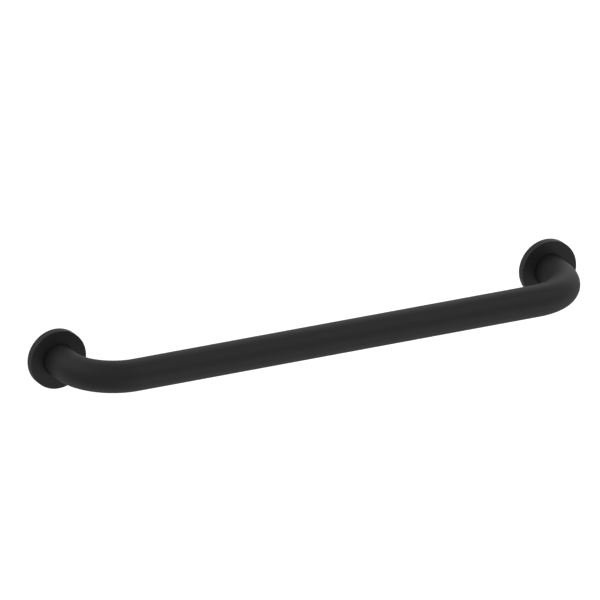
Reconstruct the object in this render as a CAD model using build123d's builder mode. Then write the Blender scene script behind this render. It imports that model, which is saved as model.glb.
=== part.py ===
from build123d import *

import os

# Wall grab bar: a bent tube welded to two round plates, each hidden by a push-on round cover
#
# The origin is on the wall face, midway between the two fixing centres. +X runs along the bar,
# +Y points into the wall and +Z points up, so the grip stands out towards -Y. Sizes are in mm.

# Driving sizes of the whole bar
fixing_centres = 540.0  # between the centres of the two plates
wall_to_grip_axis = 77.5

# Driving sizes of the tube
tube_diameter = 32.0
tube_wall = 1.5
bend_radius = 50.0  # to the tube's centreline
tube_end_setback = 0.5  # keeps the cut ends of the tube off the wall

# Driving sizes of the mounting plates and their welds
plate_thickness = 3.0
plate_edge_chamfer = 0.4
plate_to_tube_gap = 0.1  # radial, closed by the weld
weld_leg = 2.0

# Driving sizes of the fixing holes
screw_count = 3
screw_hole_diameter = 5.0
countersink_diameter = 9.0
countersink_angle = 90.0
countersink_margin = 0.5  # left between a countersink and the weld's toe or the plate's edge

# Driving sizes of the push-on covers
cover_to_plate_gap = 0.5  # radial, around the plate
cover_to_weld_gap = 0.3  # along the leg, in front of the weld
cover_to_tube_gap = 0.3  # radial, around the tube
cover_side_thickness = 1.5
cover_front_thickness = 1.8
cover_edge_radius = 0.5
cover_lip_chamfer = 0.25  # on the edge that meets the wall
cover_bore_chamfer = 0.3  # on the front of the bore

# Driving sizes of the grip rings and of the groove that holds each one in its cover
ring_thickness = 1.45
ring_width = 1.7
ring_chamfer = 0.3  # on the corners that slide along the tube
ring_to_tube_gap = 0.05  # radial, so that it slides
ring_to_groove_gap = 0.05  # on each side of the ring
groove_front_lip = 0.8
groove_back_lip = 0.6
collar_wall = 1.3  # left outside the groove

# Sizes across the legs that follow from the ones above
fixing_offset = fixing_centres / 2
tube_radius = tube_diameter / 2
weld_radius = tube_radius + weld_leg
screw_circle_radius = weld_radius + countersink_margin + countersink_diameter / 2
plate_radius = weld_radius + 2 * countersink_margin + countersink_diameter
cavity_radius = plate_radius + cover_to_plate_gap
cover_radius = cavity_radius + cover_side_thickness
cover_bore_radius = tube_radius + cover_to_tube_gap
ring_radius = tube_radius + ring_to_tube_gap
groove_radius = ring_radius + ring_thickness
collar_radius = groove_radius + collar_wall

# Heights off the wall that follow from the ones above
weld_height = plate_thickness + weld_leg
collar_height = weld_height + cover_to_weld_gap
groove_height = collar_height + groove_back_lip
ring_height = groove_height + ring_to_groove_gap
groove_width = ring_width + 2 * ring_to_groove_gap
cover_depth = groove_height + groove_width + groove_front_lip

os.makedirs("parts", exist_ok=True)

# The tube: the straight grip, a bend at each end of it and a leg from each bend to the wall
with BuildPart() as bar_tube:
    with BuildSketch(Plane.YZ):
        with Locations((-wall_to_grip_axis, 0)):
            Circle(tube_radius)
            Circle(tube_radius - tube_wall, mode=Mode.SUBTRACT)
    extrude(amount=fixing_offset - bend_radius, both=True)
    grip_ends = bar_tube.faces().filter_by(GeomType.PLANE).sort_by(Axis.X)
    for grip_end, outward in ((grip_ends[0], -1), (grip_ends[-1], 1)):
        bend_centre = (outward * (fixing_offset - bend_radius), bend_radius - wall_to_grip_axis, 0)
        revolve(grip_end, axis=Axis(bend_centre, (0, 0, outward)), revolution_arc=90)
    bend_ends = bar_tube.faces().filter_by(GeomType.PLANE)
    extrude(bend_ends, amount=wall_to_grip_axis - bend_radius - tube_end_setback)

bar_tube.part.label = "bar_tube"
export_step(bar_tube.part, "parts/bar_tube.step")

for side, outward in (("left", -1), ("right", 1)):
    fixing_point = (outward * fixing_offset, 0, 0)
    leg_axis = Axis(fixing_point, (0, -1, 0))
    # Looks back at the wall: local X points away from the middle of the bar
    wall_plane = Plane(origin=fixing_point, x_dir=(outward, 0, 0), z_dir=(0, -1, 0))
    # Cuts along the leg's axis: local X is the radius, local Y the height off the wall
    section_plane = Plane(origin=fixing_point, x_dir=(outward, 0, 0), z_dir=(0, 0, -outward))

    # The mounting plate, with countersunk holes between the weld and its edge
    with BuildPart() as mounting_plate:
        with BuildSketch(wall_plane):
            Circle(plate_radius)
            Circle(tube_radius + plate_to_tube_gap, mode=Mode.SUBTRACT)
        extrude(amount=plate_thickness)
        rim_edges = mounting_plate.edges().filter_by(GeomType.CIRCLE).group_by(SortBy.RADIUS)[-1]
        chamfer(rim_edges, length=plate_edge_chamfer)
        with Locations(wall_plane.offset(plate_thickness)):
            with PolarLocations(screw_circle_radius, screw_count):
                CounterSinkHole(
                    radius=screw_hole_diameter / 2,
                    counter_sink_radius=countersink_diameter / 2,
                    depth=plate_thickness,
                    counter_sink_angle=countersink_angle,
                )

    # The fillet weld that joins the plate's front to the tube
    with BuildPart() as weld_bead:
        with BuildSketch(section_plane):
            weld_root = (tube_radius, plate_thickness)
            weld_toe = (weld_radius, plate_thickness)
            weld_tip = (tube_radius, weld_height)
            with BuildLine():
                Polyline(weld_root, weld_toe, weld_tip, close=True)
            make_face()
        revolve(axis=leg_axis)

    # The cover: a shallow turned cup, with a grooved collar round its bore
    with BuildPart() as cover:
        with BuildSketch(section_plane):
            with Locations((cover_bore_radius, cover_depth)):
                front_width = cover_radius - cover_bore_radius
                Rectangle(front_width, cover_front_thickness, align=(Align.MIN, Align.MAX))
            with Locations((cover_radius, 0)):
                Rectangle(cover_side_thickness, cover_depth, align=(Align.MAX, Align.MIN))
            with Locations((cover_bore_radius, collar_height)):
                collar_width = collar_radius - cover_bore_radius
                collar_depth = cover_depth - collar_height
                Rectangle(collar_width, collar_depth, align=Align.MIN)
            with Locations((cover_bore_radius, groove_height)):
                groove_depth = groove_radius - cover_bore_radius
                Rectangle(groove_depth, groove_width, align=Align.MIN, mode=Mode.SUBTRACT)
        revolve(axis=leg_axis)
        # Circles of one size are in order from the room side to the wall
        bore_edges = cover.edges().filter_by(GeomType.CIRCLE).group_by(SortBy.RADIUS)[0]
        chamfer(bore_edges.sort_by(Axis.Y)[0], length=cover_bore_chamfer)
        outside_edges = cover.edges().filter_by(GeomType.CIRCLE).group_by(SortBy.RADIUS)[-1]
        chamfer(outside_edges.sort_by(Axis.Y)[-1], length=cover_lip_chamfer)
        outside_edges = cover.edges().filter_by(GeomType.CIRCLE).group_by(SortBy.RADIUS)[-1]
        fillet(outside_edges.sort_by(Axis.Y)[0], radius=cover_edge_radius)

    # The square-cut rubber ring in the collar's groove, which grips the tube
    with BuildPart() as grip_ring:
        with BuildSketch(section_plane):
            with Locations((ring_radius, ring_height)):
                Rectangle(ring_thickness, ring_width, align=Align.MIN)
        revolve(axis=leg_axis)
        inner_edges = grip_ring.edges().filter_by(GeomType.CIRCLE).group_by(SortBy.RADIUS)[0]
        chamfer(inner_edges, length=ring_chamfer)

    for name, piece in (
        ("mounting_plate", mounting_plate),
        ("weld_bead", weld_bead),
        ("cover", cover),
        ("grip_ring", grip_ring),
    ):
        piece.part.label = f"{side}_{name}"
        export_step(piece.part, f"parts/{side}_{name}.step")
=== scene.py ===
import logging
import math
from collections.abc import Callable, Sequence
from dataclasses import dataclass
from enum import Enum

import bmesh
import bpy
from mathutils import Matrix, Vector


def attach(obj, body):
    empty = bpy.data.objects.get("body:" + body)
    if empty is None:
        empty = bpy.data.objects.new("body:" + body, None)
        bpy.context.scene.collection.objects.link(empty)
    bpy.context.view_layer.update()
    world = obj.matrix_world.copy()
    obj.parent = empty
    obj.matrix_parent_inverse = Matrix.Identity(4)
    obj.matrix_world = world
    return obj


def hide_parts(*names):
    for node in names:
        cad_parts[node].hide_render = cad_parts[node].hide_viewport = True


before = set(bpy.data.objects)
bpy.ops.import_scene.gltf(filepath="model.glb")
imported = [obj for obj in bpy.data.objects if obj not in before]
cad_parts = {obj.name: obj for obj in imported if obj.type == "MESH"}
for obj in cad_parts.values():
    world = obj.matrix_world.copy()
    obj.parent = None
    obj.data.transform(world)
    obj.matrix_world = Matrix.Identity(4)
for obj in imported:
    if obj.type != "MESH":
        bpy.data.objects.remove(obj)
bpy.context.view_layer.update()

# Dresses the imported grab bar: finer meshes for the tube, welds, covers and rubber rings, their
# finishes, and a studio. Sizes are in millimetres, as in the part's source, and turn to metres where
# Blender takes them. The origin is on the wall face, midway between the fixings. +X runs along the
# bar, +Y points into the wall and +Z points up.

log = logging.getLogger("grab_bar")

MM = 0.001  # one millimetre in Blender's metres
FULL_TURN = 2 * math.pi

Colour = tuple[float, float, float, float]  # linear red, green and blue, and alpha
Point = tuple[float, float]  # of a turned section: its radius and its height off the wall
Span = tuple[float, float]  # the two ends of a range


class Side(Enum):
    """The two ends of the bar, each with the sign of its place along X."""

    LEFT = -1
    RIGHT = 1

    @property
    def word(self) -> str:
        """The side's word in the names of nodes, bodies and pieces."""
        return self.name.lower()


class Slot(Enum):
    """The record's material slots."""

    POWDER_COAT = "black_powder_coat"
    RUBBER = "black_rubber"


# Nodes, colours and meshes


def linear_colour(srgb_hex: str) -> Colour:
    """Turns an sRGB hex colour into Blender's linear one.

    Args:
        srgb_hex: The colour as "#rrggbb".

    Returns:
        Linear red, green and blue, and an alpha of 1.
    """
    channels = [int(srgb_hex[place : place + 2], 16) / 255 for place in (1, 3, 5)]
    red, green, blue = (
        value / 12.92 if value <= 0.04045 else ((value + 0.055) / 1.055) ** 2.4 for value in channels
    )
    return red, green, blue, 1.0


def add_node(
    tree: bpy.types.NodeTree,
    kind: str,
    inputs: dict[str | int, object] | None = None,
    **settings: object,
) -> bpy.types.Node:
    """Adds a node, sets its own properties, and fills or links its inputs.

    Args:
        tree: The node tree that gets the node.
        kind: The node's type name in Blender.
        inputs: For an input's name or place, its value or the output that it is linked from.
        settings: Values for the node's own properties.

    Returns:
        The new node.
    """
    node = tree.nodes.new(kind)
    for name, value in settings.items():
        setattr(node, name, value)
    for name, value in (inputs or {}).items():
        if isinstance(value, bpy.types.NodeSocket):
            tree.links.new(value, node.inputs[name])
        else:
            node.inputs[name].default_value = value
    return node


def empty_material(name: str) -> bpy.types.Material:
    """Makes a material whose node tree is still empty.

    Args:
        name: The material's name.

    Returns:
        The new material.
    """
    material = bpy.data.materials.new(name)
    material.use_nodes = True
    material.node_tree.nodes.clear()
    return material


def make_piece(
    name: str,
    points: Sequence[Vector],
    faces: Sequence[Sequence[int]],
    finishes: Sequence[bpy.types.Material],
    face_finishes: Sequence[int] | None = None,
) -> bpy.types.Object:
    """Makes a smooth shaded object whose faces look outwards.

    Args:
        name: The piece's name.
        points: Its points in millimetres, in the bar's frame.
        faces: The places of each face's points in that list.
        finishes: Its materials.
        face_finishes: The place of each face's material in that list, or None if there is one.

    Returns:
        The new object, linked to the scene.
    """
    mesh = bpy.data.meshes.new(name)
    mesh.from_pydata([point * MM for point in points], [], faces)
    for finish in finishes:
        mesh.materials.append(finish)
    if face_finishes is not None:
        mesh.polygons.foreach_set("material_index", face_finishes)
    surface = bmesh.new()
    surface.from_mesh(mesh)
    bmesh.ops.recalc_face_normals(surface, faces=surface.faces)
    surface.to_mesh(mesh)
    surface.free()
    mesh.shade_smooth()
    piece = bpy.data.objects.new(name, mesh)
    bpy.context.scene.collection.objects.link(piece)
    return piece


def fit_piece(piece: bpy.types.Object, body: str, slot: Slot, *nodes: str) -> bpy.types.Object:
    """Lets a piece ride on a body and stand for the CAD nodes that it refines.

    Args:
        piece: The piece.
        body: The body that carries it.
        slot: The record's slot for its finish. Not used.
        nodes: The CAD nodes that it replaces.

    Returns:
        The same piece.
    """
    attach(piece, body)
    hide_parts(*nodes)
    return piece


def ring_faces(rings: int, around: int) -> list[tuple[int, int, int, int]]:
    """Joins rings of points into a surface that is closed both ways, as on a doughnut.

    Args:
        rings: The number of rings. The last one joins the first.
        around: The number of points in each ring.

    Returns:
        The corners of each face.
    """
    faces = []
    for ring in range(rings):
        here, there = ring * around, (ring + 1) % rings * around
        for place in range(around):
            beside = (place + 1) % around
            faces.append((here + place, here + beside, there + beside, there + place))
    return faces


@dataclass(frozen=True)
class Corner:
    """A corner of a turned section: its radius, its height off the wall and its edge's radius."""

    radius: float
    height: float
    rounding: float


def rounded_outline(corners: Sequence[Corner]) -> list[Point]:
    """Rounds each corner of a closed section.

    A point just off each end of an arc keeps the flats beside it flat under smooth shading.

    Args:
        corners: The section's corners, in order.

    Returns:
        Points along the outline, each a radius and a height.
    """
    finest_step, guard = 0.1, 0.05  # millimetres along an arc, and past each of its ends
    least_steps = 2
    outline = []
    for place, corner in enumerate(corners):
        before, after = corners[place - 1], corners[(place + 1) % len(corners)]
        here = Vector((corner.radius, corner.height))
        to_before = (Vector((before.radius, before.height)) - here).normalized()
        to_after = (Vector((after.radius, after.height)) - here).normalized()
        half_angle = to_before.angle(to_after) / 2
        centre = here + (to_before + to_after).normalized() * (corner.rounding / math.sin(half_angle))
        reach = corner.rounding / math.tan(half_angle)
        start = here + to_before * reach - centre
        end = here + to_after * reach - centre
        sweep = start.angle(end)
        steps = max(least_steps, round(corner.rounding / finest_step))
        outline.append(centre + start + to_before * guard)
        for step in range(steps + 1):
            share = step / steps
            blend = start * math.sin((1 - share) * sweep) + end * math.sin(share * sweep)
            outline.append(centre + blend / math.sin(sweep))
        outline.append(centre + end + to_after * guard)
    return [(point.x, point.y) for point in outline]


def turned_points(
    centre_x: float, segments: int, section_at: Callable[[float], Sequence[Point]]
) -> list[Vector]:
    """Places a section at even steps round the axis of a leg.

    Args:
        centre_x: The axis's place along X, in millimetres.
        segments: The number of steps.
        section_at: Gives the section, as radii and heights, at an angle.

    Returns:
        The points, section by section.
    """
    points = []
    for segment in range(segments):
        angle = FULL_TURN * segment / segments
        across, up = math.cos(angle), math.sin(angle)
        for radius, height in section_at(angle):
            points.append(Vector((centre_x + radius * across, -height, radius * up)))
    return points


# Finishes


@dataclass(frozen=True)
class Finish:
    """The finish of a surface. Each kind of finish adds nodes of its own for it."""

    name: str

    def surface(self, tree: bpy.types.NodeTree, place: bpy.types.NodeSocket) -> bpy.types.NodeSocket:
        """Adds the nodes of the surface.

        Args:
            tree: The material's node tree.
            place: The output that holds a place on the piece, in metres.

        Returns:
            The finished shader's output.
        """
        raise NotImplementedError

    def material(self) -> bpy.types.Material:
        """Makes the finish's material.

        Returns:
            The new material.
        """
        material = empty_material(self.name)
        tree = material.node_tree
        place = add_node(tree, "ShaderNodeTexCoord").outputs["Object"]
        add_node(tree, "ShaderNodeOutputMaterial", {"Surface": self.surface(tree, place)})
        return material


@dataclass(frozen=True)
class PowderCoat(Finish):
    """Matt black polyester powder coat, sprayed dry on stainless steel and baked.

    The powder melts into one skin. It gives the eye a deep, neutral, even black with a wide soft
    sheen and no mirror image. Seen nearly edge on it is a little paler, with its sheen spread wider.
    Close up it shows faint orange peel and a fine grain.
    """

    name: str = "matt_black_powder_coat"
    thin_colour: str = "#171717"
    thick_colour: str = "#1a1a1a"
    ior: float = 1.5
    specular_level: float = 0.15
    roughness: Span = (0.46, 0.54)
    edge_roughness: float = 0.7  # the matting grain breaks up the sheen most where it is seen edge on
    edge_slant: Span = (0.3, 0.85)  # where that starts and ends, from 0 face on to 1 edge on
    even_blend: float = 0.5  # makes the slant rise evenly from face on to edge on
    film_patch: float = 30.0  # the film's thickness drifts over a few centimetres
    peel_wave: float = 2.6  # orange peel is 2 to 3 mm from crest to crest
    peel_height: float = 0.03
    grain_size: float = 0.6  # the matting grain is near 0.1 mm, and is drawn coarser to show close up
    grain_height: float = 0.06  # as steep as the real grain, which is 0.01 mm high

    def surface(self, tree: bpy.types.NodeTree, place: bpy.types.NodeSocket) -> bpy.types.NodeSocket:
        """Adds the coat's nodes.

        Args:
            tree: The material's node tree.
            place: The output that holds a place on the piece, in metres.

        Returns:
            The finished shader's output.
        """
        film, peel, grain = (
            add_node(
                tree, "ShaderNodeTexNoise", {"Vector": place, "Scale": 1 / (size * MM), "Detail": detail}
            )
            for size, detail in ((self.film_patch, 2.0), (self.peel_wave, 1.0), (self.grain_size, 0.0))
        )
        waves = add_node(
            tree, "ShaderNodeBump", {"Height": peel.outputs["Fac"], "Distance": self.peel_height * MM}
        )
        tooth = add_node(
            tree,
            "ShaderNodeBump",
            {
                "Height": grain.outputs["Fac"],
                "Distance": self.grain_height * MM,
                "Normal": waves.outputs["Normal"],
            },
        )
        colour = add_node(
            tree,
            "ShaderNodeMix",
            {
                "Factor": film.outputs["Fac"],
                "A": linear_colour(self.thin_colour),
                "B": linear_colour(self.thick_colour),
            },
            data_type="RGBA",
        )
        sheen = add_node(
            tree,
            "ShaderNodeMapRange",
            {"Value": film.outputs["Fac"], "To Min": self.roughness[0], "To Max": self.roughness[1]},
        )
        slant = add_node(tree, "ShaderNodeLayerWeight", {"Blend": self.even_blend})
        dulled = add_node(
            tree,
            "ShaderNodeMapRange",
            {
                "Value": slant.outputs["Facing"],
                "From Min": self.edge_slant[0],
                "From Max": self.edge_slant[1],
                "To Min": sheen.outputs["Result"],
                "To Max": self.edge_roughness,
            },
            interpolation_type="SMOOTHSTEP",
        )
        coat = add_node(
            tree,
            "ShaderNodeBsdfPrincipled",
            {
                "Base Color": colour.outputs["Result"],
                "Roughness": dulled.outputs["Result"],
                "IOR": self.ior,
                "Specular IOR Level": self.specular_level,
                "Normal": tooth.outputs["Normal"],
            },
        )
        return coat.outputs["BSDF"]


@dataclass(frozen=True)
class DrawnSteel(Finish):
    """Welded stainless steel tube as drawn, bare on the inside.

    It gives the eye a dull warm grey metal with fine lines along the tube, under a black haze of
    overspray that powder left inside each open end.
    """

    name: str = "drawn_stainless_steel"
    steel_colour: str = "#a6a29b"
    line_colour: str = "#8d8a84"
    haze_colour: str = "#1d1d1d"
    roughness: Span = (0.34, 0.46)
    line_spacing: float = 0.8  # die lines are about 0.2 mm apart, and are drawn 0.8 mm apart to show
    line_length: float = 25.0
    line_height: float = 0.01
    haze_depth: Span = (3.0, 11.0)  # how far off the wall the overspray starts and ends to thin out
    haze_patch: float = 3.0

    def surface(self, tree: bpy.types.NodeTree, place: bpy.types.NodeSocket) -> bpy.types.NodeSocket:
        """Adds the bore's nodes.

        Args:
            tree: The material's node tree.
            place: The output that holds a place on the piece, in metres.

        Returns:
            The finished shader's output.
        """
        across, along = 1 / (self.line_spacing * MM), 1 / (self.line_length * MM)
        stretched = add_node(
            tree, "ShaderNodeMapping", {"Vector": place, "Scale": (across, along, across)}
        )
        lines = add_node(
            tree, "ShaderNodeTexNoise", {"Vector": stretched.outputs["Vector"], "Scale": 1.0, "Detail": 2.0}
        )
        steel = add_node(
            tree,
            "ShaderNodeMix",
            {
                "Factor": lines.outputs["Fac"],
                "A": linear_colour(self.steel_colour),
                "B": linear_colour(self.line_colour),
            },
            data_type="RGBA",
        )
        depth = add_node(tree, "ShaderNodeSeparateXYZ", {"Vector": place})
        specks = add_node(
            tree,
            "ShaderNodeTexNoise",
            {"Vector": place, "Scale": 1 / (self.haze_patch * MM), "Detail": 4.0},
        )
        thinning = add_node(
            tree,
            "ShaderNodeMapRange",
            {
                "Value": depth.outputs["Y"],
                "From Min": -self.haze_depth[1] * MM,
                "From Max": -self.haze_depth[0] * MM,
            },
        )
        haze = add_node(
            tree,
            "ShaderNodeMath",
            {0: thinning.outputs["Result"], 1: specks.outputs["Fac"], 2: thinning.outputs["Result"]},
            operation="MULTIPLY_ADD",
        )
        colour = add_node(
            tree,
            "ShaderNodeMix",
            {
                "Factor": haze.outputs["Value"],
                "A": steel.outputs["Result"],
                "B": linear_colour(self.haze_colour),
            },
            data_type="RGBA",
        )
        bare = add_node(
            tree, "ShaderNodeMapRange", {"Value": haze.outputs["Value"], "To Min": 1.0, "To Max": 0.0}
        )
        gloss = add_node(
            tree,
            "ShaderNodeMapRange",
            {"Value": lines.outputs["Fac"], "To Min": self.roughness[0], "To Max": self.roughness[1]},
        )
        ridges = add_node(
            tree, "ShaderNodeBump", {"Height": lines.outputs["Fac"], "Distance": self.line_height * MM}
        )
        metal = add_node(
            tree,
            "ShaderNodeBsdfPrincipled",
            {
                "Base Color": colour.outputs["Result"],
                "Metallic": bare.outputs["Result"],
                "Roughness": gloss.outputs["Result"],
                "Normal": ridges.outputs["Normal"],
            },
        )
        return metal.outputs["BSDF"]


@dataclass(frozen=True)
class MouldedRubber(Finish):
    """Black nitrile rubber, moulded as a sleeve and cut square into rings.

    It gives the eye a dull, slightly warm black with a dusty bloom and no clear highlight.
    """

    name: str = "black_nitrile_rubber"
    rubber_colour: str = "#1a1918"
    bloom_colour: str = "#272625"
    ior: float = 1.52
    roughness: Span = (0.7, 0.85)
    bloom_patch: float = 4.0
    grain_size: float = 0.5  # the mould's fine blasting is about 0.1 mm, and is drawn coarser to show
    grain_height: float = 0.02

    def surface(self, tree: bpy.types.NodeTree, place: bpy.types.NodeSocket) -> bpy.types.NodeSocket:
        """Adds the rubber's nodes.

        Args:
            tree: The material's node tree.
            place: The output that holds a place on the piece, in metres.

        Returns:
            The finished shader's output.
        """
        bloom, grain = (
            add_node(
                tree, "ShaderNodeTexNoise", {"Vector": place, "Scale": 1 / (size * MM), "Detail": detail}
            )
            for size, detail in ((self.bloom_patch, 3.0), (self.grain_size, 1.0))
        )
        colour = add_node(
            tree,
            "ShaderNodeMix",
            {
                "Factor": bloom.outputs["Fac"],
                "A": linear_colour(self.rubber_colour),
                "B": linear_colour(self.bloom_colour),
            },
            data_type="RGBA",
        )
        dull = add_node(
            tree,
            "ShaderNodeMapRange",
            {"Value": bloom.outputs["Fac"], "To Min": self.roughness[0], "To Max": self.roughness[1]},
        )
        tooth = add_node(
            tree, "ShaderNodeBump", {"Height": grain.outputs["Fac"], "Distance": self.grain_height * MM}
        )
        rubber = add_node(
            tree,
            "ShaderNodeBsdfPrincipled",
            {
                "Base Color": colour.outputs["Result"],
                "Roughness": dull.outputs["Result"],
                "IOR": self.ior,
                "Normal": tooth.outputs["Normal"],
            },
        )
        return rubber.outputs["BSDF"]


# The bar's sub-assemblies


@dataclass(frozen=True)
class BarSizes:
    """Sizes that several sub-assemblies share, as in the part's source."""

    fixing_offset: float = 270.0  # from the middle of the bar to each leg's axis
    tube_radius: float = 16.0
    plate_thickness: float = 3.0
    weld_leg: float = 2.0


@dataclass
class BentTube:
    """The tube: the straight grip, a bend at each end of it and a leg from each bend to the wall."""

    sizes: BarSizes
    coat: bpy.types.Material
    bare_steel: bpy.types.Material
    wall_to_grip_axis: float = 77.5
    wall: float = 1.5
    bend_radius: float = 50.0
    end_setback: float = 0.5
    cut_rounding: float = 0.2  # left by deburring the cut ends
    cut_middle: float = 0.3  # the share of that rounding at which the middle of its arc lies
    seam_width: float = 2.4  # the lengthwise weld, ground flush outside, stays as a low ridge inside
    seam_height: float = 0.25
    seam_angle: float = math.radians(-75)
    around: int = 128
    leg_steps: int = 6
    bend_steps: int = 24
    grip_steps: int = 44

    def stretches(self) -> tuple[float, float, float]:
        """Works out the stretches of the centreline.

        Returns:
            The lengths of a leg, of a bend and of the straight grip.
        """
        leg = self.wall_to_grip_axis - self.bend_radius - self.end_setback
        bend = self.bend_radius * math.pi / 2
        grip = 2 * (self.sizes.fixing_offset - self.bend_radius)
        return leg, bend, grip

    def length(self) -> float:
        """Gives the whole length of the centreline, from cut end to cut end."""
        leg, bend, grip = self.stretches()
        return 2 * (leg + bend) + grip

    def stations(self) -> list[float]:
        """Lists the places of the rings along the centreline.

        Returns:
            Distances from the left cut end, without the two ends themselves.
        """
        leg, bend, grip = self.stretches()
        stretches = (
            (leg, self.leg_steps),
            (bend, self.bend_steps),
            (grip, self.grip_steps),
            (bend, self.bend_steps),
            (leg, self.leg_steps),
        )
        places, start = [], 0.0
        for length, steps in stretches:
            places += [start + length * step / steps for step in range(1, steps + 1)]
            start += length
        return places[:-1]

    def centreline_at(self, distance: float) -> tuple[Vector, Vector]:
        """Finds a point of the centreline, which lies in the plane of X and Y.

        Args:
            distance: How far along it the point is from the left cut end.

        Returns:
            The point, and the direction that faces out of the bar's loop there.
        """
        leg, bend, _ = self.stretches()
        side = Side.LEFT if distance <= self.length() / 2 else Side.RIGHT
        run = min(distance, self.length() - distance)
        if run <= leg:
            offset, outward = self.sizes.fixing_offset, Vector((1, 0, 0))
            height = self.end_setback + run
        elif run <= leg + bend:
            angle = (run - leg) / self.bend_radius
            outward = Vector((math.cos(angle), -math.sin(angle), 0))
            offset = self.sizes.fixing_offset + self.bend_radius * (outward.x - 1)
            height = self.end_setback + leg - self.bend_radius * outward.y
        else:
            offset, outward = self.length() / 2 - run, Vector((0, -1, 0))
            height = self.wall_to_grip_axis
        outward.x *= side.value
        return Vector((side.value * offset, -height, 0)), outward

    def rings(self) -> list[tuple[float, float, bool]]:
        """Lists the rings of points, out along the outside and back along the bore.

        Returns:
            For each ring its place along the centreline, its radius, and True if it is in the bore.
        """
        total, outer = self.length(), self.sizes.tube_radius
        inner = outer - self.wall
        edge, middle = self.cut_rounding, self.cut_middle * self.cut_rounding
        left_edge = [(0.0, outer - edge, False), (middle, outer - middle, False), (edge, outer, False)]
        left_bore = [(edge, inner, True), (middle, inner + middle, True), (0.0, inner + edge, True)]
        outside = [(place, outer, False) for place in self.stations()]
        inside = [(place, inner, True) for place in reversed(self.stations())]
        right_edge = [(total - place, radius, bore) for place, radius, bore in reversed(left_edge)]
        right_bore = [(total - place, radius, bore) for place, radius, bore in reversed(left_bore)]
        return left_edge + outside + right_edge + right_bore + inside + left_bore

    def ring_points(self, place: float, radius: float, in_bore: bool) -> list[Vector]:
        """Works out one ring of points.

        Args:
            place: The ring's place along the centreline.
            radius: Its radius.
            in_bore: True if it is in the bore, where the seam's ridge stands.

        Returns:
            The ring's points.
        """
        centre, outward = self.centreline_at(place)
        points = []
        for step in range(self.around):
            angle = FULL_TURN * step / self.around
            reach = radius
            if in_bore:
                off_seam = radius * math.remainder(angle - self.seam_angle, FULL_TURN)
                reach -= self.seam_height * math.exp(-((2 * off_seam / self.seam_width) ** 2))
            across = outward * reach * math.cos(angle)
            points.append(centre + across + Vector((0, 0, reach * math.sin(angle))))
        return points

    def build(self) -> bpy.types.Object:
        """Builds the tube, coated outside and bare inside.

        Returns:
            The finished piece.
        """
        rings = self.rings()
        points, bare = [], []
        for ring, (place, radius, in_bore) in enumerate(rings):
            points += self.ring_points(place, radius, in_bore)
            next_in_bore = rings[(ring + 1) % len(rings)][2]
            bare += [int(in_bore and next_in_bore)] * self.around
        faces = ring_faces(len(rings), self.around)
        piece = make_piece("bent_tube", points, faces, (self.coat, self.bare_steel), bare)
        return fit_piece(piece, "bar", Slot.POWDER_COAT, "bar_tube")


@dataclass
class EndFixing:
    """What holds one end of the tube to the wall: the mounting plate and its weld, on the bar."""

    side: Side
    sizes: BarSizes
    coat: bpy.types.Material
    weld_root_depth: float = 0.15  # how far the bead runs into the tube and the plate
    crown: float = 0.2
    ripple_count: int = 76  # a TIG weld has a ripple about every 1.4 mm
    ripple_height: float = 0.16
    ripple_lag: float = 0.45  # how far a ripple's middle trails behind its ends
    wander: float = 0.04  # how unevenly a hand-held torch lays the bead
    wander_waves: tuple[int, int] = (3, 8)  # how often that changes in a turn, slowly and quickly
    steps_per_ripple: int = 6
    face_steps: int = 8

    def bead_section(self, angle: float) -> list[Point]:
        """Gives the weld's section at one angle.

        Args:
            angle: The angle round the leg.

        Returns:
            Points of the section, each a radius and a height.
        """
        tube_radius, plate_front = self.sizes.tube_radius, self.sizes.plate_thickness
        slow, quick = self.wander_waves
        unevenness = self.wander * (math.sin(slow * angle + self.side.value) + math.sin(quick * angle)) / 2
        leg = self.sizes.weld_leg * (1 + unevenness)
        depth = self.weld_root_depth
        outwards = math.sqrt(0.5)  # the bead's face lies at 45 degrees
        section = [(tube_radius - depth, plate_front - depth), (tube_radius + leg, plate_front - depth)]
        for step in range(self.face_steps + 1):
            share = step / self.face_steps
            fullness = math.sin(math.pi * share)
            phase = (self.ripple_count * angle / FULL_TURN + self.ripple_lag * fullness) % 1
            rise = fullness * (self.crown + self.ripple_height * math.sin(math.pi * phase))
            radius = tube_radius + leg * (1 - share) + rise * outwards
            height = plate_front + leg * share + rise * outwards
            section.append((radius, height))
        section.append((tube_radius - depth, plate_front + leg))
        return section

    def build_bead(self) -> bpy.types.Object:
        """Builds the rippled weld bead.

        Returns:
            The finished piece.
        """
        segments = self.ripple_count * self.steps_per_ripple
        centre_x = self.side.value * self.sizes.fixing_offset
        points = turned_points(centre_x, segments, self.bead_section)
        faces = ring_faces(segments, len(points) // segments)
        piece = make_piece(f"{self.side.word}_rippled_weld", points, faces, (self.coat,))
        return fit_piece(piece, "bar", Slot.POWDER_COAT, f"{self.side.word}_weld_bead")

    def dress_plate(self) -> bpy.types.Object:
        """Coats the CAD's mounting plate, whose shape is kept.

        Returns:
            The plate's object.
        """
        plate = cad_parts[f"{self.side.word}_mounting_plate"]
        for place in plate.material_slots:
            place.material = self.coat
        return plate


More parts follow.
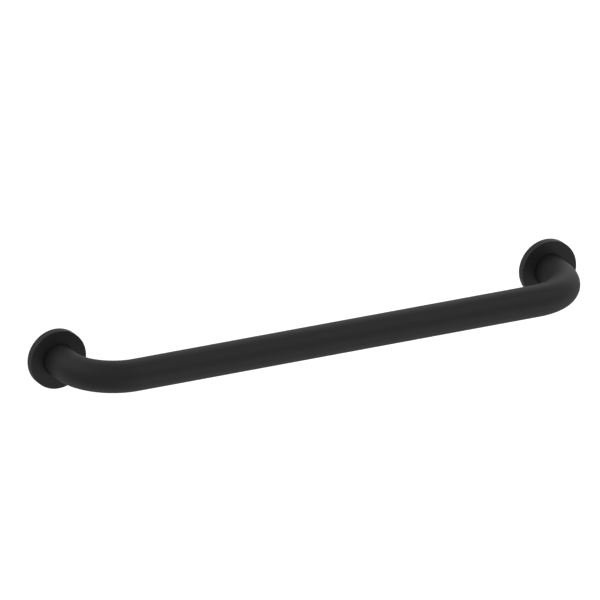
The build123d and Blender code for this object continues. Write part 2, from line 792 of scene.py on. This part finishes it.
@dataclass
class SlidingCover:
    """The round cover over one fixing, with the rubber ring in its collar that grips the tube."""

    side: Side
    sizes: BarSizes
    coat: bpy.types.Material
    rubber: bpy.types.Material
    radius: float = 30.0
    side_thickness: float = 1.5
    front_thickness: float = 1.8
    bore_gap: float = 0.3  # radial, to the tube
    weld_gap: float = 0.3  # along the leg, from the weld to the collar
    collar_wall: float = 1.3  # left outside the groove
    groove_back_lip: float = 0.6
    groove_front_lip: float = 0.8
    ring_thickness: float = 1.45
    ring_width: float = 1.7
    ring_gap: float = 0.05  # to the tube, and to each side of the groove
    front_edge: float = 0.5
    bore_edge: float = 0.3
    lip_edge: float = 0.25
    small_edge: float = 0.15
    inside_corner: float = 0.4
    groove_corner: float = 0.1
    ring_inner_edge: float = 0.3
    ring_outer_edge: float = 0.1
    segments: int = 192

    def groove(self) -> tuple[float, float, float]:
        """Works out where the collar's groove lies.

        Returns:
            The radius of its floor, and the heights of its back and its front off the wall.
        """
        floor = self.sizes.tube_radius + self.ring_gap + self.ring_thickness
        weld_height = self.sizes.plate_thickness + self.sizes.weld_leg
        back = weld_height + self.weld_gap + self.groove_back_lip
        return floor, back, back + self.ring_width + 2 * self.ring_gap

    def shell_corners(self) -> list[Corner]:
        """Lists the corners of the cover's section.

        Returns:
            The corners, from the lip round to the inside of the lip.
        """
        groove_floor, groove_back, groove_front = self.groove()
        bore = self.sizes.tube_radius + self.bore_gap
        collar, collar_back = groove_floor + self.collar_wall, groove_back - self.groove_back_lip
        front = groove_front + self.groove_front_lip
        ceiling = front - self.front_thickness
        cavity = self.radius - self.side_thickness
        return [
            Corner(self.radius, 0, self.lip_edge),
            Corner(self.radius, front, self.front_edge),
            Corner(bore, front, self.bore_edge),
            Corner(bore, groove_front, self.groove_corner),
            Corner(groove_floor, groove_front, self.groove_corner),
            Corner(groove_floor, groove_back, self.groove_corner),
            Corner(bore, groove_back, self.groove_corner),
            Corner(bore, collar_back, self.small_edge),
            Corner(collar, collar_back, self.small_edge),
            Corner(collar, ceiling, self.inside_corner),
            Corner(cavity, ceiling, self.inside_corner),
            Corner(cavity, 0, self.small_edge),
        ]

    def ring_corners(self) -> list[Corner]:
        """Lists the corners of the rubber ring's section, which fills the groove.

        Returns:
            The corners, from the back of its outside.
        """
        outer, groove_back, groove_front = self.groove()
        inner = outer - self.ring_thickness
        back, front = groove_back + self.ring_gap, groove_front - self.ring_gap
        return [
            Corner(outer, back, self.ring_outer_edge),
            Corner(outer, front, self.ring_outer_edge),
            Corner(inner, front, self.ring_inner_edge),
            Corner(inner, back, self.ring_inner_edge),
        ]

    def build_turned(
        self, part: str, corners: Sequence[Corner], finish: bpy.types.Material, slot: Slot
    ) -> bpy.types.Object:
        """Turns a rounded section about the leg's axis.

        Args:
            part: The part's name, as in the CAD node after the side.
            corners: The section's corners.
            finish: Its material.
            slot: The record's slot for that finish.

        Returns:
            The finished piece.
        """
        outline = rounded_outline(corners)
        centre_x = self.side.value * self.sizes.fixing_offset
        points = turned_points(centre_x, self.segments, lambda _: outline)
        faces = ring_faces(self.segments, len(outline))
        piece = make_piece(f"{self.side.word}_turned_{part}", points, faces, (finish,))
        return fit_piece(piece, f"{self.side.word}_cover", slot, f"{self.side.word}_{part}")

    def build_shell(self) -> bpy.types.Object:
        """Builds the cover itself."""
        return self.build_turned("cover", self.shell_corners(), self.coat, Slot.POWDER_COAT)

    def build_ring(self) -> bpy.types.Object:
        """Builds the rubber ring in its groove."""
        return self.build_turned("grip_ring", self.ring_corners(), self.rubber, Slot.RUBBER)


# The studio


def direction_to(azimuth: float, elevation: float) -> Vector:
    """Gives the direction from the bar to something round it.

    Args:
        azimuth: Degrees from -Y towards +X.
        elevation: Degrees above the horizon.

    Returns:
        A direction of length 1.
    """
    across, up = math.radians(azimuth), math.radians(elevation)
    return Vector((math.sin(across) * math.cos(up), -math.cos(across) * math.cos(up), math.sin(up)))


@dataclass(frozen=True)
class Softbox:
    """A square area lamp that faces the bar, from an azimuth and an elevation in degrees."""

    name: str
    azimuth: float
    elevation: float
    power: float  # in watts
    distance: float = 2200.0
    width: float = 1400.0

    def place(self) -> None:
        """Places the lamp, which the camera doesn't see."""
        lamp = bpy.data.lights.new(self.name, "AREA")
        lamp.shape = "SQUARE"
        lamp.size = self.width * MM
        lamp.energy = self.power
        lamp_object = bpy.data.objects.new(self.name, lamp)
        outwards = direction_to(self.azimuth, self.elevation)
        lamp_object.location = outwards * (self.distance * MM)
        lamp_object.rotation_euler = (-outwards).to_track_quat("-Z", "Y").to_euler()
        lamp_object.visible_camera = False
        bpy.context.scene.collection.objects.link(lamp_object)


@dataclass
class Studio:
    """A pale floor, an even room light, softboxes and the camera of the photograph."""

    room_level: float = 0.86  # radiance of the room's light on the bar
    white: str = "#ffffff"
    floor_drop: float = 450.0
    floor_width: float = 9000.0
    floor_colour: str = "#bcbcba"
    floor_roughness: float = 0.8
    floor_lift: float = 0.52  # brings the lit floor up to white where a camera or a gloss sees it
    softboxes: tuple[Softbox, ...] = (
        Softbox("right_softbox", 45, 40, 8.6),
        Softbox("left_softbox", -90, 40, 7.3),
        Softbox("left_back_softbox", -135, 40, 4.5),
        Softbox("right_back_softbox", 135, 40, 2.4),
        Softbox("right_rim_softbox", 135, 8, 10.0),
        Softbox("low_softbox", 0, -30, 1.35, distance=800.0, width=500.0),
        Softbox("low_right_softbox", 45, -30, 0.8, distance=800.0, width=500.0),
    )
    camera_azimuth: float = -26.702
    camera_elevation: float = 21.378
    camera_lens: float = 1000.0
    camera_distance: float = 16386.0
    aim_left: float = 1.93  # the photograph's centre, off the origin in the picture's plane
    aim_up: float = 11.62
    sight_end: float = 40000.0

    def seen_directly(self, tree: bpy.types.NodeTree) -> bpy.types.NodeSocket:
        """Adds what is 1 where a camera, a gloss or a clear surface sees the background.

        Args:
            tree: The node tree of the world or the floor.

        Returns:
            The output that holds it.
        """
        path = add_node(tree, "ShaderNodeLightPath")
        seen = path.outputs["Is Camera Ray"]
        for other in ("Is Glossy Ray", "Is Transmission Ray"):
            inputs = {0: seen, 1: path.outputs[other]}
            seen = add_node(tree, "ShaderNodeMath", inputs, operation="MAXIMUM").outputs["Value"]
        return seen

    def light_room(self) -> None:
        """Makes the world: a plain level on the bar, and white where it is seen."""
        world = bpy.data.worlds.new("white_room")
        world.use_nodes = True
        tree = world.node_tree
        tree.nodes.clear()
        level = add_node(
            tree,
            "ShaderNodeMapRange",
            {"Value": self.seen_directly(tree), "To Min": self.room_level, "To Max": 1.0},
        )
        light = add_node(
            tree,
            "ShaderNodeBackground",
            {"Color": linear_colour(self.white), "Strength": level.outputs["Result"]},
        )
        add_node(tree, "ShaderNodeOutputWorld", {"Surface": light.outputs["Background"]})
        bpy.context.scene.world = world

    def lay_floor(self) -> None:
        """Lays the pale floor, far enough down that the bar's shadow falls outside the picture."""
        material = empty_material("pale_painted_floor")
        tree = material.node_tree
        lift = add_node(
            tree,
            "ShaderNodeMath",
            {0: self.seen_directly(tree), 1: self.floor_lift},
            operation="MULTIPLY",
        )
        paint = add_node(
            tree,
            "ShaderNodeBsdfPrincipled",
            {
                "Base Color": linear_colour(self.floor_colour),
                "Roughness": self.floor_roughness,
                "Emission Color": linear_colour(self.white),
                "Emission Strength": lift.outputs["Value"],
            },
        )
        add_node(tree, "ShaderNodeOutputMaterial", {"Surface": paint.outputs["BSDF"]})
        half, signs = self.floor_width / 2, ((-1, -1), (1, -1), (1, 1), (-1, 1))
        corners = [Vector((half * along, half * back, -self.floor_drop)) for along, back in signs]
        floor = make_piece("floor", corners, [(0, 1, 2, 3)], (material,))

    def place_camera(self) -> None:
        """Places the camera at the photograph's angle, with a lens long enough for its flat view."""
        camera = bpy.data.cameras.new("product_camera")
        camera.lens = self.camera_lens
        camera.clip_end = self.sight_end * MM
        camera_object = bpy.data.objects.new("product_camera", camera)
        back = direction_to(self.camera_azimuth, self.camera_elevation)
        right = Vector((0, 0, 1)).cross(back).normalized()
        aim = back.cross(right) * self.aim_up * MM - right * self.aim_left * MM
        camera_object.location = aim + back * (self.camera_distance * MM)
        camera_object.rotation_euler = (-back).to_track_quat("-Z", "Y").to_euler()
        bpy.context.scene.collection.objects.link(camera_object)
        bpy.context.scene.camera = camera_object

    def build(self) -> None:
        """Sets up the camera, the light and the floor."""
        self.place_camera()
        self.light_room()
        self.lay_floor()
        for softbox in self.softboxes:
            softbox.place()
        bpy.context.scene.view_settings.view_transform = "Standard"


def main() -> None:
    """Builds the studio and the bar."""
    logging.basicConfig(level=logging.INFO, format="%(message)s")
    Studio().build()
    sizes = BarSizes()
    coat = PowderCoat().material()
    rubber = MouldedRubber().material()
    pieces = [BentTube(sizes, coat, DrawnSteel().material()).build()]
    for side in Side:
        fixing = EndFixing(side, sizes, coat)
        cover = SlidingCover(side, sizes, coat, rubber)
        pieces += [fixing.build_bead(), fixing.dress_plate(), cover.build_shell(), cover.build_ring()]
    for piece in pieces:
        log.info("%s: %d faces", piece.name, len(piece.data.polygons))


if __name__ == "__main__":
    main()
